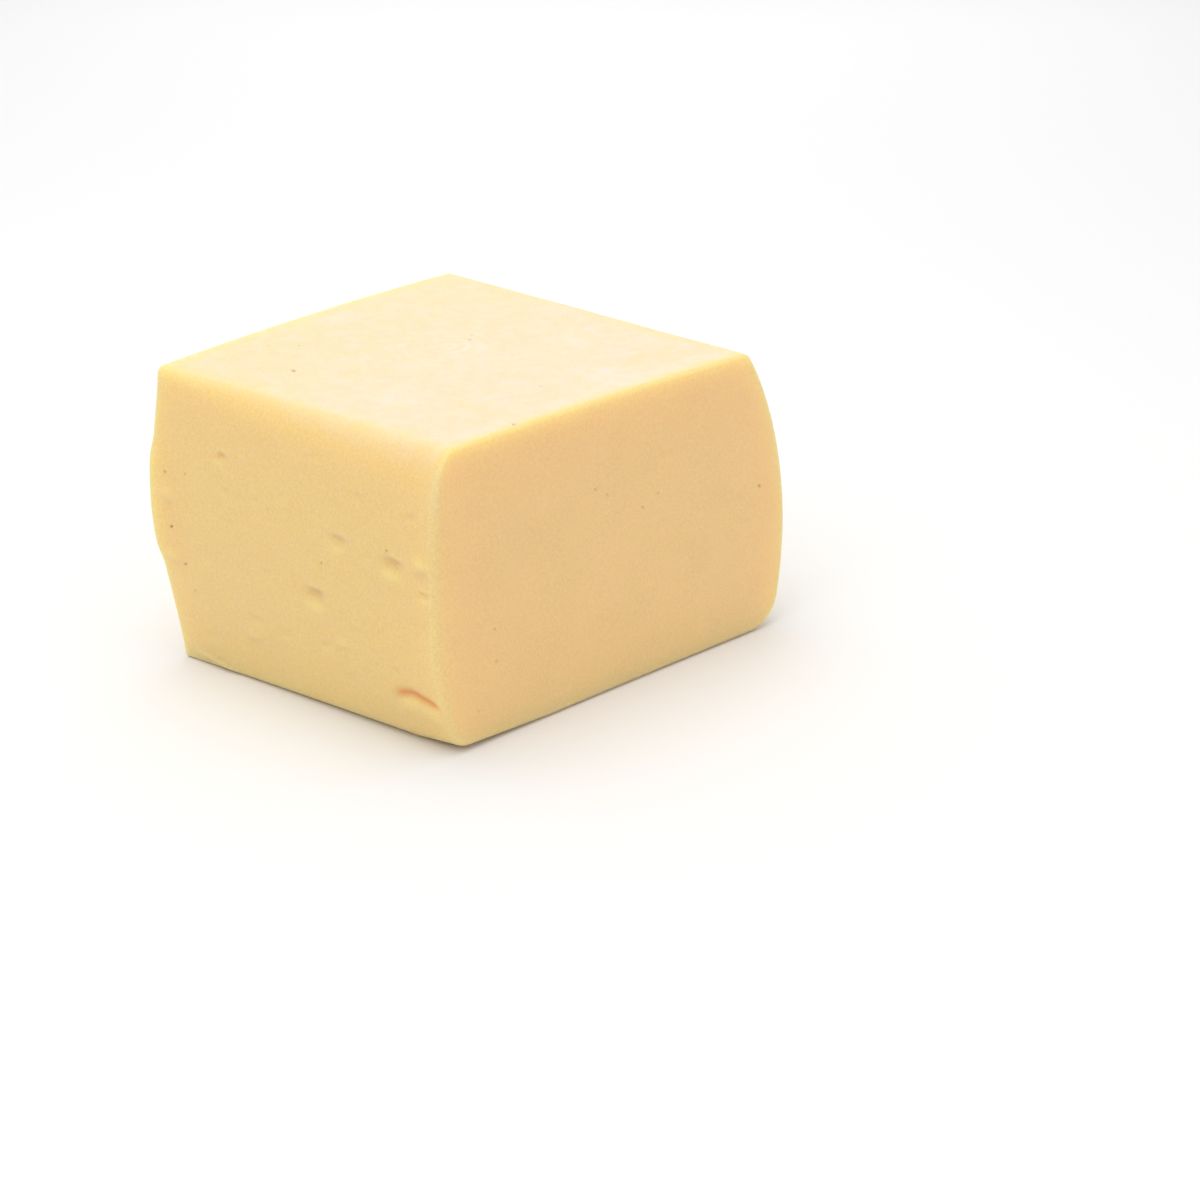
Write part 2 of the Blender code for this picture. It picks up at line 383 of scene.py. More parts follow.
class CheeseColors(bpy.types.PropertyGroup):
    """Colours of the cheese, with painted shade and painted light at its dents, creases, openings, edges
    and top.
    """

    paste: color_property("Paste", "Colour of the curd on the cut face", "F2CC8C")
    skin: color_property("Skin", "Colour of the moulded skin", "EBCC86")
    pale: color_property("Pale curd", "Colour of the paler streaks", "F0D29A")
    deep: color_property("Deep curd", "Colour of the moister, yellower patches", "EAC785")
    # Painted light: the top's bright sheen under the overhead light, painted as a paler colour
    top_sheen: color_property("Dry skin", "Colour of the top, which has dried paler", "E4CFAA")
    fat: color_property("Fat", "Colour of the whiter, fattier marks on the top", "E5D6C0")
    # Partly painted shade in the hollows of small openings, partly trapped dirt
    pit: color_property("Pits", "Colour at the bottom of small openings", "A5804C")
    fold: color_property("Folds", "Colour inside creases, where light is yellow and dim", "E4AC66")
    # Painted shade: the darker wall above a dent, where light from above falls short
    dent_shade: color_property("Pinched skin", "Colour of the skin on the walls above dents", "D8B98E")
    # Painted light: the skin that swells out below a dent, lit from above
    dent_light: color_property("Stretched skin", "Colour of the skin that swells out below dents", "EED68C")
    # Painted shade: a darker, greener colour that damps the glow of the upright edges
    edge_shade: color_property("Rubbed edges", "Colour of the upright edges, which are handled most", "E3C58D")


class StageSettings(bpy.types.PropertyGroup):
    """The floor and the lights."""

    floor: color_property("Floor", "Colour of the floor", "EEEEEE")
    world: color_property("Surroundings", "Colour of the light from all around", "FFFFFF")
    world_strength: bpy.props.FloatProperty(
        name="Surroundings strength", description="Strength of the light from all around", default=0.78
    )
    key: color_property("Key light", "Colour of the light overhead", "FFFFFF")
    key_power: power_property("Key power", "Power of the light overhead", 4.5)
    back: color_property("Back light", "Colour of the light behind", "FFFFFF")
    back_power: power_property("Back power", "Power of the light behind", 1.4)
    left: color_property("Left light", "Colour of the light from the left", "FFFFFF")
    left_power: power_property("Left power", "Power of the light from the left", 2.7)
    front: color_property("Front light", "Colour of the light from the front", "FFFFFF")
    front_power: power_property("Front power", "Power of the light from the front", 0.17)


# ---------------------------------------------------------------------------------------------
# The lattice


def box_shell(counts):
    """The shell of a lattice box as points and quads.

    A point is its three row numbers. Each of the six sides is a grid of quads, wound so that it
    faces out, and points that sides share are kept once.
    """
    sides = []
    for axis in range(3):
        first_axis = (axis + 1) % 3
        second_axis = (axis + 2) % 3
        first, second = np.meshgrid(
            np.arange(counts[first_axis]), np.arange(counts[second_axis]), indexing="ij"
        )
        for at_end in (False, True):
            turns = ((0, 0), (1, 0), (1, 1), (0, 1))
            if not at_end:
                turns = turns[::-1]
            quads = np.empty((first.size, 4, 3), int)
            quads[:, :, axis] = counts[axis] * at_end
            for corner, (one, two) in enumerate(turns):
                quads[:, corner, first_axis] = first.ravel() + one
                quads[:, corner, second_axis] = second.ravel() + two
            sides.append(quads)
    corners = np.concatenate(sides)
    points, index = np.unique(corners.reshape(-1, 3), axis=0, return_inverse=True)
    return points, index.reshape(-1, 4)


def row_shares(flat_rows):
    """Shares from 0 to 1 for an axis's rows: even steps round each edge, and even steps between."""
    edge = np.linspace(0.0, EDGE_SHARE, EDGE_ROWS, endpoint=False)
    flat = np.linspace(EDGE_SHARE, 1 - EDGE_SHARE, flat_rows + 1)
    return np.concatenate([edge, flat, 1 - edge[::-1]])


# ---------------------------------------------------------------------------------------------
# The straight block


def mix(low, high, share):
    """The value at a share of the way from low to high."""
    return low + (high - low) * share


def eased(value, low, high):
    """Shares from 0 to 1 as a value goes from low to high."""
    return np.clip((value - low) / (high - low), 0, 1)


def ramp(share):
    """0 along one edge's rows, 1 along the other's, and even steps between."""
    return eased(share, EDGE_SHARE, 1 - EDGE_SHARE)


def row_place(share, low_round, high_round, span):
    """Distance of a row from the low edge of a face.

    Rows within an edge's radius turn by equal angles: radius * (1 - tan(45 degrees * share left)).
    """
    low_turn = np.radians(45) * np.clip(1 - share / EDGE_SHARE, 0, 1)
    high_turn = np.radians(45) * np.clip(1 - (1 - share) / EDGE_SHARE, 0, 1)
    flat = mix(low_round, span - high_round, ramp(share))
    return flat - low_round * np.tan(low_turn) + high_round * np.tan(high_turn)


def drawn_to_arc(offset_x, offset_z):
    """Carries offsets from an edge's centre line from a square corner onto a round one.

    Each offset is scaled by its larger part over its length.
    """
    reach = np.maximum(np.abs(offset_x), np.abs(offset_z))
    distance = np.maximum(np.hypot(offset_x, offset_z), 1e-9)
    return offset_x * reach / distance, offset_z * reach / distance


def section_points(across, up, station, inset, width, height):
    """Points of the straight block's cross-section, drawn in from its outline by inset.

    The four corner radii, less the inset, are mixed along the loaf, the top left one by the square of
    the way along. In each corner the rows are drawn from a square corner onto its arc. Then the top
    left corner's rows are spread downwards, by (stretch - 1) * drop within its radius, and less and
    less beyond it.
    """
    top_left = mix(*TOP_LEFT_ROUND, station**2) - inset
    top_right = mix(*TOP_RIGHT_ROUND, station) - inset
    hollow = BASE_HOLLOW * np.sin(np.pi * station)
    base_left = mix(*BASE_LEFT_ROUND, station) + hollow - inset
    base_right = mix(*BASE_RIGHT_ROUND, station) + hollow - inset
    inner_width = width - 2 * inset
    inner_height = height - 2 * inset
    left_round = mix(base_left, top_left, ramp(up))
    right_round = mix(base_right, top_right, ramp(up))
    base_round = mix(base_left, base_right, ramp(across))
    top_round = mix(top_left, top_right, ramp(across))
    x = row_place(across, left_round, right_round, inner_width)
    z = row_place(up, base_round, top_round, inner_height)
    by_side = np.minimum(across, 1 - across) < EDGE_SHARE
    by_level = np.minimum(up, 1 - up) < EDGE_SHARE
    center_x = np.where(across < 0.5, left_round, inner_width - right_round)
    center_z = np.where(up < 0.5, base_round, inner_height - top_round)
    round_x, round_z = drawn_to_arc(x - center_x, z - center_z)
    in_corner = by_side & by_level
    x = np.where(in_corner, center_x + round_x, x)
    z = np.where(in_corner, center_z + round_z, z)

    drop = inner_height - z
    stretch = mix(*TOP_LEFT_STRETCH, station) - 1
    spread = stretch * np.minimum(drop, top_left) * (1 - eased(drop, top_left, inner_height - base_left))
    z = z - spread * (1 - eased(x, top_left, STRETCH_SPREAD * top_left))
    return x + inset, z + inset


def end_rounds(along, up, length):
    """Insets and places along the loaf of rows, which turn round the two ends' edges.

    At an angle a past the end's face, the inset is radius * (1 - cos a) and the row is
    radius * (1 - sin a) from the end.
    """
    near = np.radians(90) * np.clip(1 - along / EDGE_SHARE, 0, 1)
    far = np.radians(90) * np.clip(1 - (1 - along) / EDGE_SHARE, 0, 1)
    cut_round = mix(CUT_SIDE_ROUND, CUT_ROUND, np.clip((up - 1) / EDGE_SHARE + 1, 0, 1))
    inset = cut_round * (1 - np.cos(near)) + FAR_ROUND * (1 - np.cos(far))
    flat = mix(cut_round, length - FAR_ROUND, ramp(along))
    return inset, flat - cut_round * np.sin(near) + FAR_ROUND * np.sin(far)


def straight_points(shares, sizes):
    """Lattice points on the straight block with rounded edges."""
    width, length, height = sizes
    inset, y = end_rounds(shares[:, 1], shares[:, 2], length)
    x, z = section_points(shares[:, 0], shares[:, 2], y / length, inset, width, height)
    return x, y, z


# ---------------------------------------------------------------------------------------------
# Marks


def scattered_marks(seed, first_span, second_span):
    """Dents and pits at random places of a side, away from its edges, the same on each run."""
    random = np.random.default_rng(seed)

    def places(count):
        spans = (first_span, second_span)
        inner = [(SCATTER_MARGIN, span - SCATTER_MARGIN) for span in spans]
        return np.column_stack([random.uniform(*limits, count) for limits in inner])

    dents = [
        (*place, half_length, DENT_REACH_UP, DENT_REACH_DOWN * half_length, slope, depth)
        for place, half_length, slope, depth in zip(
            places(SCATTERED_DENTS),
            random.uniform(*DENT_HALF_LENGTHS, SCATTERED_DENTS),
            random.uniform(*DENT_SLOPES, SCATTERED_DENTS),
            random.uniform(*DENT_DEPTHS, SCATTERED_DENTS),
        )
    ]
    pits = [
        (*place, radius, PIT_DEPTH * radius)
        for place, radius in zip(places(SCATTERED_PITS), random.uniform(*PIT_RADII, SCATTERED_PITS))
    ]
    return dents, pits


def gathered(first, second, on_side, marks, reach_and_pull):
    """Places on a side, drawn in towards small marks so that each has enough points.

    A point at a distance r within the reach moves by pull * (1 - (r / reach)^2)^2 of r.
    """
    reach, pull = reach_and_pull
    for place, level, *_ in marks:
        away_first = first - place
        away_second = second - level
        near = np.clip(1 - (away_first**2 + away_second**2) / reach**2, 0, 1) * on_side
        first = first - away_first * pull * near**2
        second = second - away_second * pull * near**2
    return first, second


def dent_depths(first, second, mark):
    """Depths of one dent, and the shares of painted shade on its wall above and of painted light on the
    skin below it.

    Along it, a depth dies out as exp(-(length / half length)^2). Above its line it dies out in the
    same way. Below the line it is cos(90 degrees * drop / reach) * exp(-(drop / 2 reach)^2), which
    meets the side at one reach and swells out after it. A low swell takes painted light itself, and
    painted shade below it. The shares go by the root of the depth.
    """
    place, level, half_length, reach_up, reach_down, slope, depth = mark
    turn = math.radians(slope)
    ahead = first - place
    above = second - level
    length = ahead * math.cos(turn) + above * math.sin(turn)
    rise = above * math.cos(turn) - ahead * math.sin(turn)
    along = np.exp(-((length / half_length) ** 2))
    drop = np.minimum(rise, 0) / reach_down
    across = np.exp(-((np.maximum(rise, 0) / reach_up) ** 2))
    across = across * np.cos(np.pi / 2 * drop) * np.exp(-(drop**2) / 4)
    tone = along * math.sqrt(abs(depth))
    over = tone * np.exp(-2 * (rise / reach_up - DENT_SHADE_PEAK) ** 2)
    under = tone * np.exp(-2 * (drop + DENT_LIGHT_PEAK) ** 2)
    if depth < 0:
        return depth * along * across, under, tone * np.clip(across, 0, 1)
    return depth * along * across, over, under


def pit_depths(first, second, mark):
    """Depths of one round opening: depth * exp(-(r / radius)^4), a flat floor and steep walls."""
    place, level, radius, depth = mark
    distance = np.hypot(first - place, second - level)
    return depth * np.exp(-((distance / radius) ** 4))


def crease_line(y):
    """Heights of the crease at places along the loaf, and its share there, which ends softly.

    It slopes down on both sides of its middle: slope * (sqrt(distance^2 + bend^2) - bend).
    """
    drop = CREASE_SLOPE * (np.hypot(y - CREASE_PLACE, CREASE_BEND) - CREASE_BEND)
    ends = np.exp(-(((y - CREASE_MIDDLE) / CREASE_HALF_LENGTH) ** 8))
    return CREASE_HEIGHT - drop, ends


def drawn_to_crease(y, z, on_side):
    """Heights of a side's points, drawn in towards the crease as they are towards small marks."""
    reach, pull = CREASE_GATHER
    height, ends = crease_line(y)
    above = z - height
    near = np.clip(1 - (above / reach) ** 2, 0, 1) * ends * on_side
    return z - above * pull * near**2


def crease_depths(y, z):
    """Share of the crease's groove, and depths of the whole crease.

    The groove is a bell across the crease's line, the hollow is half of a wider one above it, and
    the lip is a bell that stands out below it.
    """
    height, ends = crease_line(y)
    above = z - height
    ahead = (y - CREASE_MIDDLE) / CREASE_HALF_LENGTH
    reach = mix(*CREASE_REACHES, np.clip(ahead / 2 + 0.5, 0, 1))
    groove = np.exp(-((above / reach) ** 2)) * ends
    hollow = np.exp(-((above / np.where(above > 0, HOLLOW_REACH, reach)) ** 2)) * ends
    lip = np.exp(-(((above + LIP_BELOW_CREASE) / LIP_REACH) ** 2)) * ends
    return groove, CREASE_DEPTH * groove + HOLLOW_DEPTH * hollow - LIP_SWELL * lip


def fold_heights(y, z):
    """Heights of the fold along the left side's foot: a bell across a sloping line."""
    ahead = y - FOLD_PLACE
    above = z - FOLD_HEIGHT - FOLD_SLOPE * ahead
    reach = np.where(above > 0, FOLD_REACH_UP, FOLD_REACH_DOWN)
    return FOLD_SWELL * np.exp(-((above / reach) ** 2) - (ahead / FOLD_HALF_LENGTH) ** 4)


def step_heights(y, z, length):
    """Heights of the far left corner's step: even at mid height, and nothing above and below.

    It rises and falls as sin(90 degrees * share)^2.
    """
    rise = np.sin(np.pi / 2 * eased(z, *STEP_RISE)) ** 2
    fall = np.cos(np.pi / 2 * eased(z, *STEP_FALL)) ** 2
    return STEP_SWELL * rise * fall * np.exp(-(((length - y) / STEP_LENGTH) ** 2))


def side_depths(first, second, dents, pits):
    """Depths of all of a side's dents and of its pits, and its shares of painted shade and painted light.
    """
    dented, dent_shade, dent_light = sum(
        (np.array(dent_depths(first, second, mark)) for mark in dents), np.zeros((3, len(first)))
    )
    pitted = sum(pit_depths(first, second, mark) for mark in pits)
    return dented, pitted, dent_shade, dent_light


def fat_shares(x, y):
    """Shares of whiter fat on the top: in rings for its first mark, and as bells for the others."""
    bells = [
        share * np.exp(-((x - across) ** 2 + (y - along) ** 2) / reach**2)
        for across, along, reach, share in FAT_MARKS
    ]
    place, reach, share = FAT_BAND
    return bells[0], sum(bells[1:]) + share * np.exp(-(((y - place) / reach) ** 2))


def painted_sheen_shares(x, y, z, on_top, sizes):
    """Shares of the painted sheen: whole in the top's middle, and weaker towards its edges and far end."""
    width, length, height = sizes
    left = np.sqrt(eased(x, *SHEEN_FROM_LEFT))
    others = eased(y, *SHEEN_FROM_CUT) * eased(np.minimum(width - x, length - y), *SHEEN_FROM_EDGE)
    far = 1 - SHEEN_LOSS * eased(y / length, *SHEEN_LOSS_SPAN)
    reach, lowest, share = SHEEN_EDGE
    upright = share * np.exp(-(x**2 + y**2) / reach**2) * eased(z, lowest, height)
    return np.maximum(left * others * far * on_top, upright)


# ---------------------------------------------------------------------------------------------
# The real form


def bulge(share, form):
    """A swell that is nothing at both ends: height * sin(pi * share^lean)^sharpness."""
    height, lean, sharpness = form
    return height * np.maximum(0.0, np.sin(np.pi * np.clip(share, 0, 1) ** lean)) ** sharpness


def left_side(station, level):
    """How far the left side stands in from the top's left edge."""
    foot = np.maximum(0.0, 1 - level / CUT_TUCK_REACH)
    at_cut = CUT_TUCK * foot**CUT_TUCK_POWER - bulge(level, CUT_SIDE_BULGE)
    at_far_end = FAR_TUCK * (1 - level) - bulge(level, FAR_SIDE_BULGE)
    return mix(at_cut, at_far_end, station)


def right_side(station, level):
    """How far the right side stands out past the top's right edge."""
    return RIGHT_FLARE * (1 - level) + bulge(level, RIGHT_BULGE) + RIGHT_SPREAD * station


def foot_hollow(share, level):
    """How far the foot of an end draws in between the base's corners."""
    return BASE_HOLLOW * np.sin(np.pi * share) * np.maximum(0.0, 1 - level / FOOT_LEVEL)


def cut_end(x, share, level):
    """How far the cut face lies past the left side's start."""
    return CUT_SLOPE * x + foot_hollow(share, level)


def far_end(share, level, width):
    """How far the far end lies past the left side's length."""
    across = bulge(share, FAR_BULGE_ACROSS) * np.minimum(1.0, level / FOOT_LEVEL)
    up_power, across_power = FAR_LEAN_POWERS
    lean = FAR_LEAN * np.clip(1 - level, 0, 1) ** up_power * np.clip(1 - share, 0, 1) ** across_power
    slope = FAR_SLOPE * width * share
    return slope + across + bulge(level, FAR_BULGE_UP) - lean - foot_hollow(share, level)


def base_lift(x, y):
    """Height of the base above the table, at the lifted corner."""
    across = np.maximum(0.0, 1 - x / LIFT_ACROSS)
    along = np.maximum(0.0, 1 - y / LIFT_ALONG)
    return CORNER_LIFT * across * along


def shaped_points(x, y, z, sizes):
    """The real form's points for points of the straight block.

    x is mixed between the two sides' lines, y is skewed at the cut and swelled at the far end, and
    z takes the crown of the top and the lift of one base corner.
    """
    width, length, height = sizes
    share = x / width
    station = y / length
    level = z / height
    shaped_x = mix(left_side(station, level), width + right_side(station, level), share)
    shaped_y = y + mix(cut_end(shaped_x, share, level), far_end(share, level, width), station)
    crown = bulge(share, TOP_CROWN) - TOP_DROP * share**DROP_POWER
    lift = base_lift(x, y) * (1 - level) ** LIFT_FADE
    return np.column_stack([shaped_x, shaped_y, z + crown * level**CROWN_FADE + lift])


def wave_heights(points, amount):
    """Heights of the skin's low waves: a sum of sines, each along its own random direction."""
    random = np.random.default_rng(WAVE_SEED)
    total = np.zeros(len(points))
    for _ in range(WAVES):
        direction = random.normal(size=3)
        direction /= np.linalg.norm(direction)
        length = random.uniform(*WAVE_LENGTHS)
        phase = random.uniform(0, 2 * np.pi)
        total += np.sin(2 * np.pi / length * (points @ direction) + phase)
    return amount * WAVE_HEIGHT * total / math.sqrt(WAVES)


def point_normals(points, quads):
    """Unit normals of the points: the sum of the cross products of their quads' diagonals."""
    first, second, third, fourth = (points[quads[:, corner]] for corner in range(4))
    diagonals = np.cross(third - first, fourth - second)
    normals = np.zeros_like(points)
    for corner in range(4):
        np.add.at(normals, quads[:, corner], diagonals)
    return normals / np.linalg.norm(normals, axis=1, keepdims=True)


def block_surface(sizes, waviness):
    """Points, quads and masks of the whole block, in millimetres.

    The lattice goes onto the straight block, is drawn in towards its marks and is shaped. Then the
    waves move it along its normals, and the marks sink into its sides.
    """
    width, length, height = sizes
    rows, quads = box_shell([flat + 2 * EDGE_ROWS for flat in FLAT_ROWS])
    shares = np.column_stack([row_shares(flat)[rows[:, axis]] for axis, flat in enumerate(FLAT_ROWS)])
    x, y, z = straight_points(shares, sizes)
    plain = shaped_points(x, y, z, sizes)
    shift = -(plain.min(axis=0) + plain.max(axis=0)) / 2 * (1, 1, 0)

    inner = (shares > EDGE_SHARE) & (shares < 1 - EDGE_SHARE)
    on_left = (shares[:, 0] == 0) & inner[:, 1] & inner[:, 2]
    on_right = (shares[:, 0] == 1) & inner[:, 1] & inner[:, 2]
    on_cut = (shares[:, 1] == 0) & inner[:, 0] & inner[:, 2]
    on_far = (shares[:, 1] == 1) & inner[:, 0] & inner[:, 2]
    on_top = (shares[:, 2] == 1) & inner[:, 0] & inner[:, 1]

    right_dents, right_pits = scattered_marks(SCATTER_SEED, length, height)
    far_dents, far_pits = scattered_marks(SCATTER_SEED + 1, width, height)
    y, z = gathered(y, z, on_left, LEFT_DENTS, DENT_GATHER)
    y, z = gathered(y, z, on_left, LEFT_PITS, PIT_GATHER)
    z = drawn_to_crease(y, z, on_left)
    y, z = gathered(y, z, on_right, right_dents, DENT_GATHER)
    y, z = gathered(y, z, on_right, right_pits, PIT_GATHER)
    x, z = gathered(x, z, on_cut, CUT_PITS, PIT_GATHER)
    x, z = gathered(x, z, on_far, far_dents, DENT_GATHER)
    x, z = gathered(x, z, on_far, far_pits, PIT_GATHER)
    x, y = gathered(x, y, on_top, TOP_PITS, PIT_GATHER)

    left_fade = (1 - np.clip(x / width, 0, 1)) ** MARK_FADE * (shares[:, 0] < 0.5)
    right_fade = np.clip(x / width, 0, 1) ** MARK_FADE * on_right
    left_dented, left_pitted, dent_shade, dent_light = side_depths(y, z, LEFT_DENTS, LEFT_PITS)
    right_dented, right_pitted, _, _ = side_depths(y, z, right_dents, right_pits)
    _, cut_pitted, _, _ = side_depths(x, z, (), CUT_PITS)
    far_dented, far_pitted, _, _ = side_depths(x, z, far_dents, far_pits)
    _, top_pitted, _, _ = side_depths(x, y, (), TOP_PITS)
    groove, creased = crease_depths(y, z)
    raised = fold_heights(y, z) + step_heights(y, z, length)

    points = shaped_points(x, y, z, sizes)
    normals = point_normals(points, quads)
    waves = wave_heights(points, waviness) * eased(points[:, 2], 0, WAVES_FULL)
    points = points + normals * waves[:, None]
    points[:, 0] += (left_dented + creased - raised + left_pitted * on_left) * left_fade
    points[:, 0] -= (right_dented + right_pitted) * right_fade
    points[:, 1] += cut_pitted * on_cut
    points[:, 1] -= (far_dented + far_pitted) * on_far
    points[:, 2] -= top_pitted * on_top

    pits = left_pitted * on_left + right_pitted * on_right + cut_pitted * on_cut + far_pitted * on_far
    pits = pits + top_pitted * on_top
    top_side = (shares[:, 2] == 1) | ((shares[:, 2] > 1 - EDGE_SHARE) & (x < width / 2))
    edge_x = np.minimum(x, width - x)
    edge_y = np.minimum(y, length - y)
    ringed, fat = fat_shares(x, y)
    masks = {
        "cut_face": np.clip(1 - y / CUT_SIDE_ROUND, 0, 1),
        # Painted light: the top's whiter sheen, which also runs down the top of the upright edge beside
        # the cut
        "painted_sheen": painted_sheen_shares(x, y, z, top_side, sizes),
        "ringed_fat": ringed * on_top,
        "fat": fat * on_top,
        # Painted shade that damps the glow along the upright edges
        "edge_shade": np.exp(-(edge_x**2 + edge_y**2) / EDGE_SHADE_REACH**2),
        # Painted shade on the walls above dents, and painted light on the swells below them
        "dent_shade": np.clip(DENT_SHADE_SHARE * dent_shade, 0, 1) * left_fade,
        "dent_light": np.clip(DENT_LIGHT_SHARE * dent_light, 0, 1) * left_fade,
        # Painted shade in the crease's groove
        "fold": groove * left_fade,
        # Partly painted shade in the hollows of small openings, partly trapped dirt
        "pit": eased(pits, 0, PIT_COLOR_DEPTH),
    }
    return points + shift, quads, masks


# ---------------------------------------------------------------------------------------------
# Materials


def add_node(tree, kind, output, inputs=(), **settings):
    """Adds a node with its settings and returns one of its outputs.

    Inputs go by name, or by number where names repeat. One given as another node's output is
    linked, and any other is set as the socket's value.
    """
    node = tree.nodes.new(kind)
    for name, value in settings.items():
        setattr(node, name, value)
    in_use = {socket.name: socket for socket in reversed(node.inputs) if socket.enabled}
    for name, value in dict(inputs).items():
        socket = node.inputs[name] if isinstance(name, int) else in_use[name]
        if isinstance(value, bpy.types.NodeSocket):
            tree.links.new(value, socket)
        else:
            socket.default_value = value
    return next(socket for socket in node.outputs if socket.enabled and socket.name == output)


def pattern_scale(size):
    """A texture's scale on coordinates in metres, for features of a size in millimetres."""
    return 1 / (size * MM)


def noise(tree, place, size, detail=2.0, stretch=(1.0, 1.0, 1.0), distortion=0.0):
    """Noise from 0 to 1 with features of a size in millimetres, drawn out where stretch is less than 1."""
    drawn = add_node(tree, "ShaderNodeMapping", "Vector", {"Vector": place, "Scale": stretch})
    inputs = {"Vector": drawn, "Scale": pattern_scale(size), "Detail": detail, "Distortion": distortion}
    return add_node(tree, "ShaderNodeTexNoise", "Fac", inputs)


def between(tree, value, low, high, to_low=0.0, to_high=1.0):
    """Carries a value's range from low to high smoothly onto another."""
    inputs = {"Value": value, "From Min": low, "From Max": high, "To Min": to_low, "To Max": to_high}
    return add_node(tree, "ShaderNodeMapRange", "Result", inputs, interpolation_type="SMOOTHSTEP")


def blended(tree, share, low, high, kind="RGBA"):
    """A colour, or a value where the kind is FLOAT, at a share of the way from low to high."""
    inputs = {"Factor": share, "A": low, "B": high}
    return add_node(tree, "ShaderNodeMix", "Result", inputs, data_type=kind)


def calculated(tree, operation, first, second):
    """The sum, product or other result of two values."""
    return add_node(tree, "ShaderNodeMath", "Value", {0: first, 1: second}, operation=operation)


def layered(tree, heights, parts):
    """The sum of heights times the parts that they have in a relief."""
    layers = [calculated(tree, "MULTIPLY", height, part) for height, part in zip(heights, parts)]
    total = layers[0]
    for layer in layers[1:]:
        total = calculated(tree, "ADD", total, layer)
    return total


def curd_color(tree, place, masks, colors):
    """The curd's colour: patches, streaks in the skin, painted shade on the upright edges, painted sheen
    on the top mottled with fat, and a fine grain.

    Noise lies mostly between 0.3 and 0.7, so each pattern is a range out of that.
    """
    color = blended(tree, masks["cut_face"], tuple(colors.skin), tuple(colors.paste))
    patches = noise(tree, place, PATCH_SIZE, detail=3.0, stretch=(1.0, 0.6, 1.2), distortion=0.5)
    color = blended(tree, between(tree, patches, 0.4, 0.7, 0.0, PATCH_SHARE), color, tuple(colors.deep))
    streaks = noise(tree, place, STREAK_SIZE, detail=3.0, stretch=(1.0, 0.4, 1.0), distortion=0.8)
    streaks = between(tree, streaks, 0.5, 0.8, 0.0, STREAK_SHARE)
    skin = calculated(tree, "SUBTRACT", 1.0, masks["cut_face"])
    color = blended(tree, calculated(tree, "MULTIPLY", streaks, skin), color, tuple(colors.pale))
    # Painted shade that damps the glow along the upright edges
    color = blended(tree, masks["edge_shade"], color, tuple(colors.edge_shade))
    # Painted light: the top's sheen, painted as a paler, whiter colour
    sheen_share = noise(tree, place, SHEEN_SIZE, detail=4.0, stretch=(0.7, 1.0, 1.0))
    sheen_share = calculated(tree, "MULTIPLY", masks["painted_sheen"], between(tree, sheen_share, 0.2, 0.6, 0.6, 1.0))
    color = blended(tree, sheen_share, color, tuple(colors.top_sheen))

    mottle = noise(tree, place, MOTTLE_SIZE, detail=5.0, distortion=0.4)
    spread = calculated(tree, "MULTIPLY", masks["painted_sheen"], between(tree, mottle, 0.4, 0.7, 0.0, MOTTLE_SHARE))
    color = blended(tree, spread, color, tuple(colors.fat))
    spread = calculated(tree, "MULTIPLY", masks["fat"], between(tree, mottle, 0.3, 0.6, 0.35, 1.0))
    color = blended(tree, spread, color, tuple(colors.fat))
    inputs = {"Vector": place, "Location": RINGS_PLACE}
    centered = add_node(tree, "ShaderNodeMapping", "Vector", inputs, vector_type="TEXTURE")
    inputs = {
        "Vector": centered,
        "Scale": pattern_scale(RING_SPACING) / WAVE_TEXTURE_TURNS,
        "Distortion": 4.5,
        "Detail": 3.0,
        "Detail Scale": 1.2,
    }
    rings = add_node(
        tree, "ShaderNodeTexWave", "Fac", inputs, wave_type="RINGS", rings_direction="SPHERICAL"
    )
    breaks = between(tree, noise(tree, place, RING_BREAK_SIZE), 0.38, 0.56)
    rings = calculated(tree, "MULTIPLY", between(tree, rings, 0.3, 0.9), breaks)
    rings = calculated(tree, "MULTIPLY", masks["ringed_fat"], rings)
    color = blended(tree, rings, color, tuple(colors.fat))

    grain = noise(tree, place, GRAIN_SIZE, detail=3.0)
    color = blended(tree, between(tree, grain, 0.35, 0.7, 0.0, GRAIN_SHARE), color, tuple(colors.pale))
    dim = between(tree, grain, 0.3, 0.7, 1 - GRAIN_DIMMING, 1.0)
    inputs = {"Factor": 1.0, "A": color, "B": dim}
    return add_node(tree, "ShaderNodeMix", "Result", inputs, data_type="RGBA", blend_type="MULTIPLY")


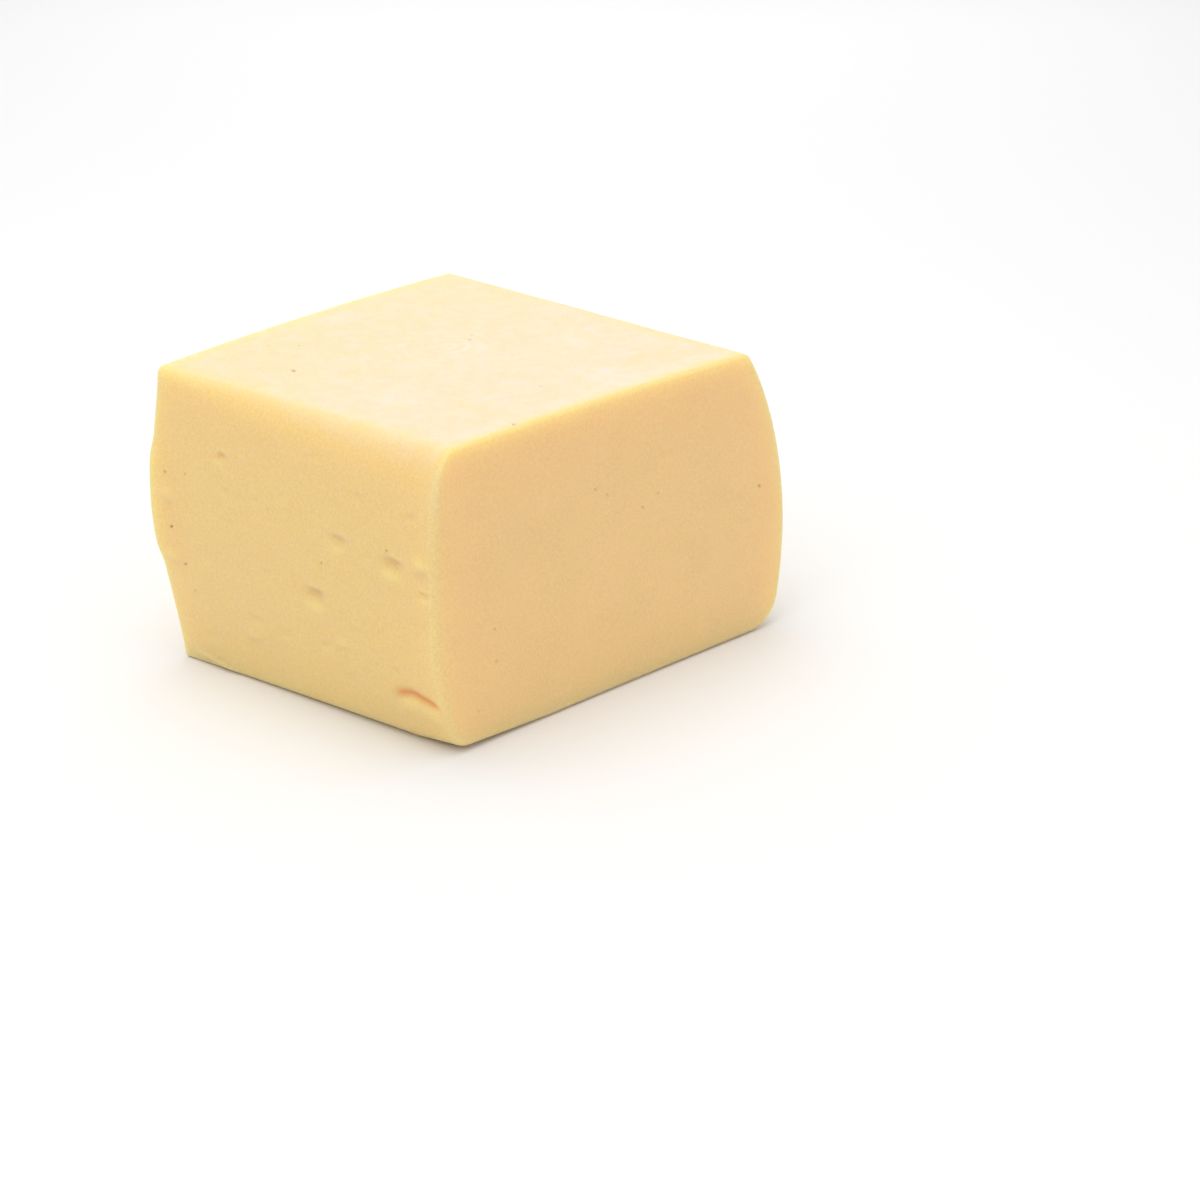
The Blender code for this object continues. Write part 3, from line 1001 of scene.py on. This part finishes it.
def cheese_material(colors):
    """Low-moisture mozzarella: curd stretched in hot water, pressed in a mould, then cut with a wire.

    The mould leaves a tight skin with a satin sheen; the wire leaves a smoother, moister face with
    faint drag lines. Light goes several millimetres into the curd, so that edges glow yellow and
    marks look soft. Stretching leaves faint streaks of paler and yellower curd.
    """
    material = bpy.data.materials.new("low_moisture_mozzarella")
    material.use_nodes = True
    tree = material.node_tree
    tree.nodes.clear()
    place = add_node(tree, "ShaderNodeTexCoord", "Object")
    masks = {
        name: add_node(tree, "ShaderNodeAttribute", "Fac", attribute_name=name)
        for name in MASKS
    }
    cut_face = masks["cut_face"]

    color = curd_color(tree, place, masks, colors)
    # Painted shade on the walls above dents, and painted light on the swells below them
    color = blended(tree, masks["dent_shade"], color, tuple(colors.dent_shade))
    color = blended(tree, masks["dent_light"], color, tuple(colors.dent_light))
    # Painted shade in the crease's groove, warm and dim
    color = blended(tree, masks["fold"], color, tuple(colors.fold))
    # Partly painted shade in the hollows of small openings, partly trapped dirt
    color = blended(tree, masks["pit"], color, tuple(colors.pit))

    dimples = noise(tree, place, DIMPLE_SIZE)
    pebbles = noise(tree, place, PEBBLE_SIZE)
    skin = layered(tree, (dimples, pebbles), SKIN_RELIEF)
    drag = noise(tree, place, DRAG_SPACING, detail=3.0, stretch=(0.06, 1.0, 1.0))
    cut = layered(tree, (drag, pebbles, dimples), CUT_RELIEF)
    relief = blended(tree, cut_face, skin, cut, "FLOAT")
    inputs = {"Height": relief, "Strength": 1.0, "Distance": RELIEF_HEIGHT * MM}
    bump = add_node(tree, "ShaderNodeBump", "Normal", inputs)
    skin_gloss = between(tree, dimples, 0.3, 0.7, *SKIN_ROUGHNESS)
    cut_gloss = between(tree, dimples, 0.3, 0.7, *CUT_ROUGHNESS)
    roughness = blended(tree, cut_face, skin_gloss, cut_gloss, "FLOAT")
    inputs = {
        "Base Color": color,
        "Roughness": roughness,
        "Normal": bump,
        "IOR": CHEESE_IOR,
        "Subsurface Weight": 1.0,
        "Subsurface Radius": LIGHT_REACH,
        "Subsurface Scale": MM,
        "Coat Weight": FILM_SHARE,
        "Coat Roughness": FILM_ROUGHNESS,
    }
    surface = add_node(tree, "ShaderNodeBsdfPrincipled", "BSDF", inputs)
    output = tree.nodes.new("ShaderNodeOutputMaterial")
    tree.links.new(surface, output.inputs["Surface"])
    return material


def paper_material(color):
    """Matt white background paper: an even pale field that throws soft light back up."""
    material = bpy.data.materials.new("background_paper")
    material.use_nodes = True
    shader = material.node_tree.nodes["Principled BSDF"]
    shader.inputs["Base Color"].default_value = color
    shader.inputs["Roughness"].default_value = 0.9
    shader.inputs["Specular IOR Level"].default_value = 0.2
    return material


# ---------------------------------------------------------------------------------------------
# Pieces


def new_object(name, points, quads, material):
    """A smooth mesh object with its place in its mesh, in metres, from points in millimetres."""
    mesh = bpy.data.meshes.new(name)
    mesh.from_pydata((points * MM).tolist(), [], quads.tolist())
    mesh.shade_smooth()
    mesh.materials.append(material)
    piece = bpy.data.objects.new(name, mesh)
    bpy.context.scene.collection.objects.link(piece)
    return piece


def floor_surface():
    """A round floor: rings at radius * share^2, with a row of quads across the innermost ring."""
    share = np.linspace(0, 1, FLOOR_RINGS + 1)[1:, None]
    angle = np.linspace(0, 2 * np.pi, FLOOR_SIDES, endpoint=False)[None, :]
    radius = FLOOR_RADIUS * share**2
    across = radius * np.cos(angle)
    points = np.stack([across, radius * np.sin(angle), np.zeros_like(across)], axis=-1).reshape(-1, 3)
    ring, side = np.meshgrid(np.arange(FLOOR_RINGS - 1), np.arange(FLOOR_SIDES), indexing="ij")
    start = (ring * FLOOR_SIDES + side).ravel()
    turned = (ring * FLOOR_SIDES + (side + 1) % FLOOR_SIDES).ravel()
    quads = np.column_stack([start, start + FLOOR_SIDES, turned + FLOOR_SIDES, turned])
    half = np.arange(FLOOR_SIDES // 2 - 1)
    middle = np.column_stack([half, half + 1, FLOOR_SIDES - 2 - half, FLOOR_SIDES - 1 - half])
    return points, np.concatenate([quads, middle])


def soft_light(name, color, power, place, size, aim=(0.0, 0.0, 50.0)):
    """A square softbox at a place in millimetres, facing the block and unseen by the camera."""
    light = bpy.data.lights.new(name, "AREA")
    light.shape = "SQUARE"
    light.size = size * MM
    light.color = color[:3]
    light.energy = power
    lamp = bpy.data.objects.new(name, light)
    lamp.location = Vector(place) * MM
    lamp.rotation_euler = (Vector(aim) - Vector(place)).to_track_quat("-Z", "Y").to_euler()
    lamp.visible_camera = False
    bpy.context.scene.collection.objects.link(lamp)
    return lamp


def photo_camera():
    """The camera at the photograph's place and angle."""
    camera = bpy.data.cameras.new("photo_camera")
    camera.lens = CAMERA_LENS
    camera.sensor_width = CAMERA_SENSOR
    camera.clip_start = 0.01
    camera.clip_end = 50.0
    holder = bpy.data.objects.new("photo_camera", camera)
    holder.location = Vector(CAMERA_PLACE) * MM
    aim = Vector(CAMERA_AIM) - Vector(CAMERA_PLACE)
    holder.rotation_euler = aim.to_track_quat("-Z", "Y").to_euler()
    bpy.context.scene.collection.objects.link(holder)
    bpy.context.scene.camera = holder


# ---------------------------------------------------------------------------------------------
# Operators and panel


class CHEESE_OT_block(bpy.types.Operator):
    """Build the block of cheese and its material"""

    bl_idname = "cheese.block"
    bl_label = "Cheese block"

    def execute(self, context):
        sizes = context.scene.cheese_sizes
        spans = [value / MM for value in (sizes.top_width, sizes.left_length, sizes.height)]
        points, quads, masks = block_surface(spans, sizes.waviness)
        if not np.isfinite(points).all():
            raise RuntimeError("the block's sizes give no closed surface")
        block = new_object("cheese_block", points, quads, cheese_material(context.scene.cheese_colors))
        for name, values in masks.items():
            attribute = block.data.attributes.new(name, "FLOAT", "POINT")
            attribute.data.foreach_set("value", values.astype(np.float32))
        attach(block, "root")
        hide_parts(NODE)
        return {"FINISHED"}


class CHEESE_OT_stage(bpy.types.Operator):
    """Build the floor, the lights and the camera"""

    bl_idname = "cheese.stage"
    bl_label = "Stage"

    def execute(self, context):
        stage = context.scene.cheese_stage
        floor = new_object("floor", *floor_surface(), paper_material(stage.floor))
        soft_light("key_light", stage.key, stage.key_power, KEY_PLACE, KEY_SIZE)
        soft_light("back_light", stage.back, stage.back_power, BACK_PLACE, BACK_SIZE)
        soft_light("left_light", stage.left, stage.left_power, LEFT_PLACE, LEFT_SIZE)
        soft_light("front_light", stage.front, stage.front_power, FRONT_PLACE, FRONT_SIZE)
        world = bpy.data.worlds.new("studio")
        world.use_nodes = True
        background = world.node_tree.nodes["Background"]
        background.inputs["Color"].default_value = stage.world
        background.inputs["Strength"].default_value = stage.world_strength
        context.scene.world = world
        context.scene.view_settings.view_transform = "Standard"
        photo_camera()
        return {"FINISHED"}


class CHEESE_PT_panel(bpy.types.Panel):
    """Settings and steps for the block of cheese"""

    bl_idname = "CHEESE_PT_panel"
    bl_label = "Mozzarella block"
    bl_space_type = "VIEW_3D"
    bl_region_type = "UI"
    bl_category = "Cheese"

    def draw(self, context):
        groups = {
            "cheese.block": (context.scene.cheese_sizes, context.scene.cheese_colors),
            "cheese.stage": (context.scene.cheese_stage,),
        }
        for step, settings in groups.items():
            box = self.layout.box()
            box.operator(step)
            for group in settings:
                for name in group.bl_rna.properties.keys():
                    if name not in ("rna_type", "name"):
                        box.prop(group, name)


CLASSES = (
    CheeseSizes,
    CheeseColors,
    StageSettings,
    CHEESE_OT_block,
    CHEESE_OT_stage,
    CHEESE_PT_panel,
)


def register():
    """Adds the settings, the steps and the panel to Blender."""
    for listed in CLASSES:
        bpy.utils.register_class(listed)
    bpy.types.Scene.cheese_sizes = bpy.props.PointerProperty(type=CheeseSizes)
    bpy.types.Scene.cheese_colors = bpy.props.PointerProperty(type=CheeseColors)
    bpy.types.Scene.cheese_stage = bpy.props.PointerProperty(type=StageSettings)


def unregister():
    """Takes them out again."""
    del bpy.types.Scene.cheese_stage
    del bpy.types.Scene.cheese_colors
    del bpy.types.Scene.cheese_sizes
    for listed in reversed(CLASSES):
        bpy.utils.unregister_class(listed)


def main():
    """Builds the block and its stage."""
    register()
    bpy.ops.cheese.block()
    bpy.ops.cheese.stage()


if __name__ == "__main__":
    main()
